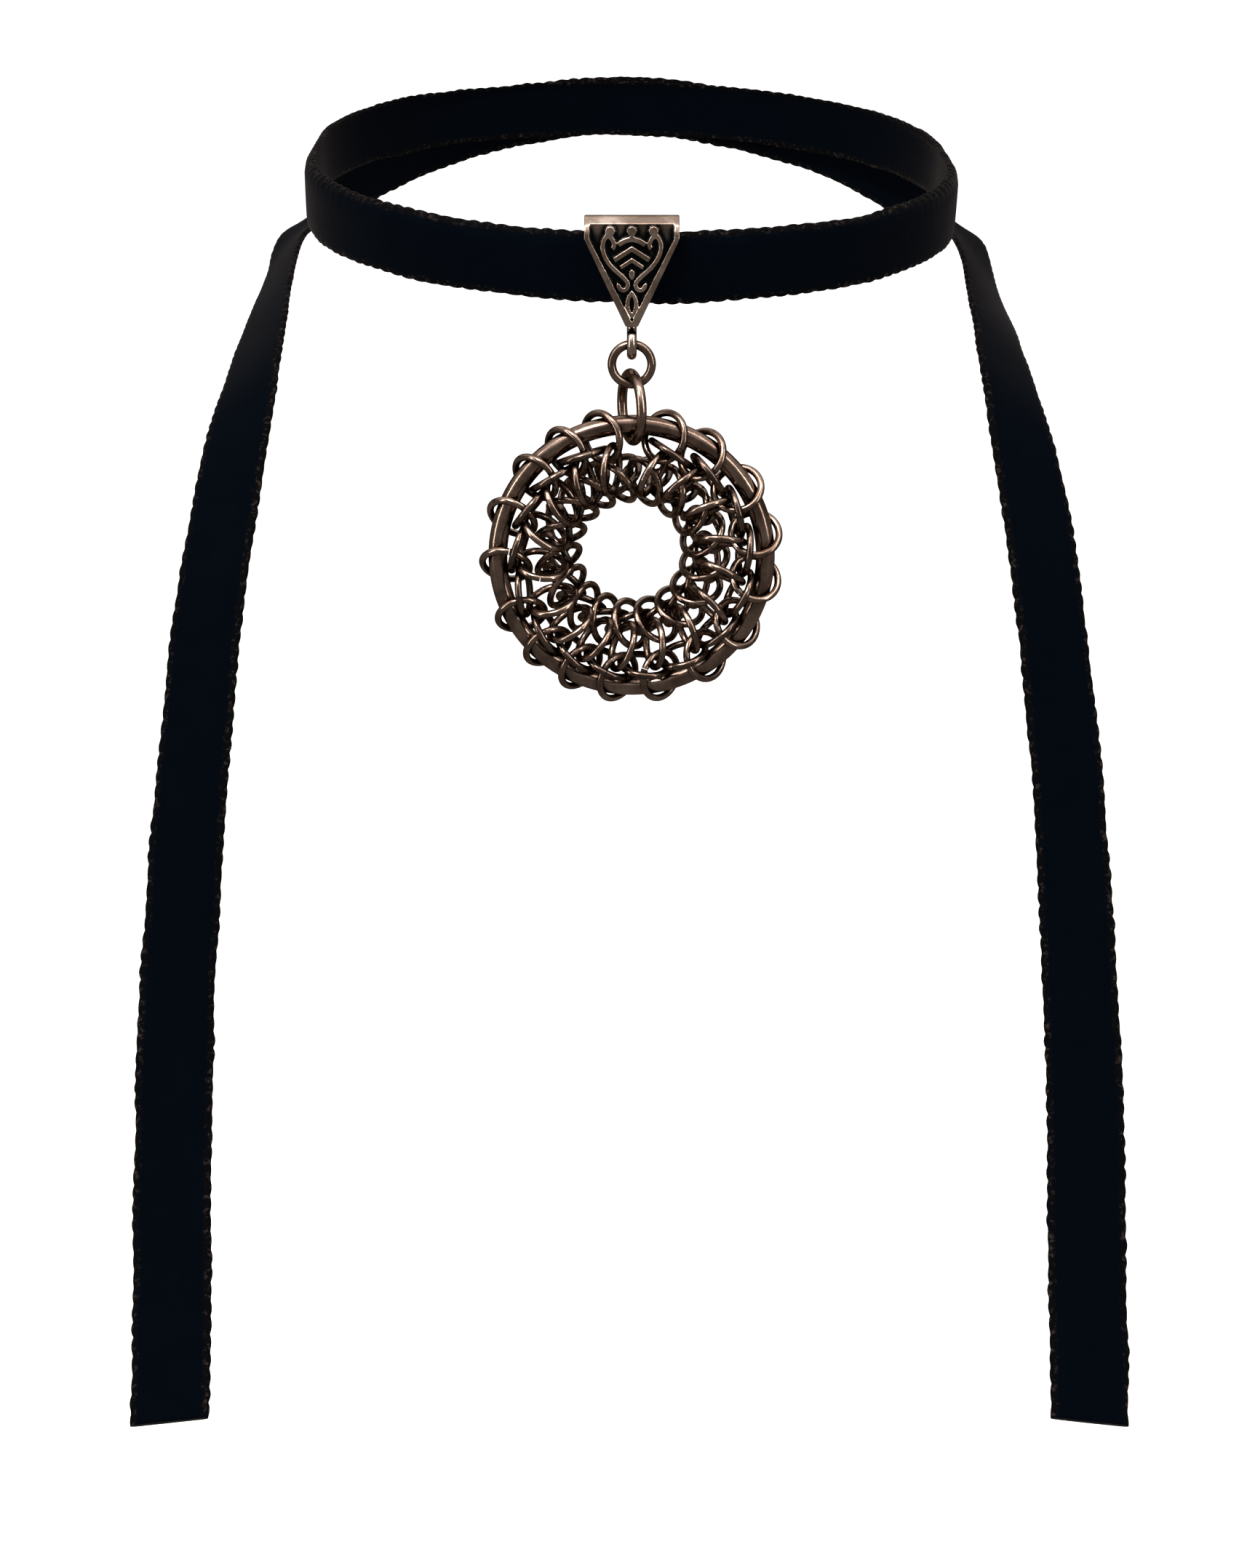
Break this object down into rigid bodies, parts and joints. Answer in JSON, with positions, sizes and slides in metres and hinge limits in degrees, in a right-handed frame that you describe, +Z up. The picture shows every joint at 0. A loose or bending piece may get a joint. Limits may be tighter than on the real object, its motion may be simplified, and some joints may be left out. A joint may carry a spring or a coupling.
{
  "type": "velvet ribbon choker with chainmail ring pendant",
  "caption": "Velvet ribbon choker with long tails and a cast bail that carries a ring wrapped in woven chainmail links.",
  "frame": {"origin": "middle of the neck loop, at half the ribbon's width", "axes": "+Z up, -Y towards the wearer's front, +X to the wearer's left, which is on the right in a front view"},
  "size_m": [0.123, 0.1803, 0.1429],
  "materials": {
    "velvet": "black velvet",
    "cast_metal": "cast, antiqued dark in the recesses",
    "wire_metal": "antiqued wire"
  },
  "bodies": {
    "choker": {"ribbon": "velvet", "bail": "cast_metal"},
    "jump_ring": {"jump_ring": "wire_metal"},
    "hanger_link": {"hanger_link": "wire_metal"},
    "pendant": {"main_ring": "wire_metal", "wrap_link_01": "wire_metal", "wrap_link_02": "wire_metal", "wrap_link_03": "wire_metal", "wrap_link_04": "wire_metal", "wrap_link_05": "wire_metal", "wrap_link_06": "wire_metal", "wrap_link_07": "wire_metal", "wrap_link_08": "wire_metal", "wrap_link_09": "wire_metal", "wrap_link_10": "wire_metal", "wrap_link_11": "wire_metal", "wrap_link_12": "wire_metal", "wrap_link_13": "wire_metal", "wrap_link_14": "wire_metal", "wrap_link_15": "wire_metal", "wrap_link_16": "wire_metal", "wrap_link_17": "wire_metal", "radial_link_01": "wire_metal", "radial_link_02": "wire_metal", "radial_link_03": "wire_metal", "radial_link_04": "wire_metal", "radial_link_05": "wire_metal", "radial_link_06": "wire_metal", "radial_link_07": "wire_metal", "radial_link_08": "wire_metal", "radial_link_09": "wire_metal", "radial_link_10": "wire_metal", "radial_link_11": "wire_metal", "radial_link_12": "wire_metal", "radial_link_13": "wire_metal", "radial_link_14": "wire_metal", "radial_link_15": "wire_metal", "radial_link_16": "wire_metal", "radial_link_17": "wire_metal", "inner_links": "wire_metal", "outer_connectors": "wire_metal", "inner_connectors": "wire_metal"}
  },
  "joints": [
    {"name": "jump_ring_swing", "type": "hinge", "parent": "choker", "child": "jump_ring", "pos_m": [0, -0.0542, -0.01671], "axis": [1, 0, 0], "range_deg": [-40, 40]},
    {"name": "hanger_sway", "type": "hinge", "parent": "jump_ring", "child": "hanger_link", "pos_m": [0, -0.0542, -0.02051], "axis": [-0.2924, 0.9563, 0], "range_deg": [-30, 30]},
    {"name": "pendant_swing", "type": "hinge", "parent": "hanger_link", "child": "pendant", "pos_m": [0, -0.0542, -0.02712], "axis": [1, 0, 0], "range_deg": [-35, 35]}
  ]
}
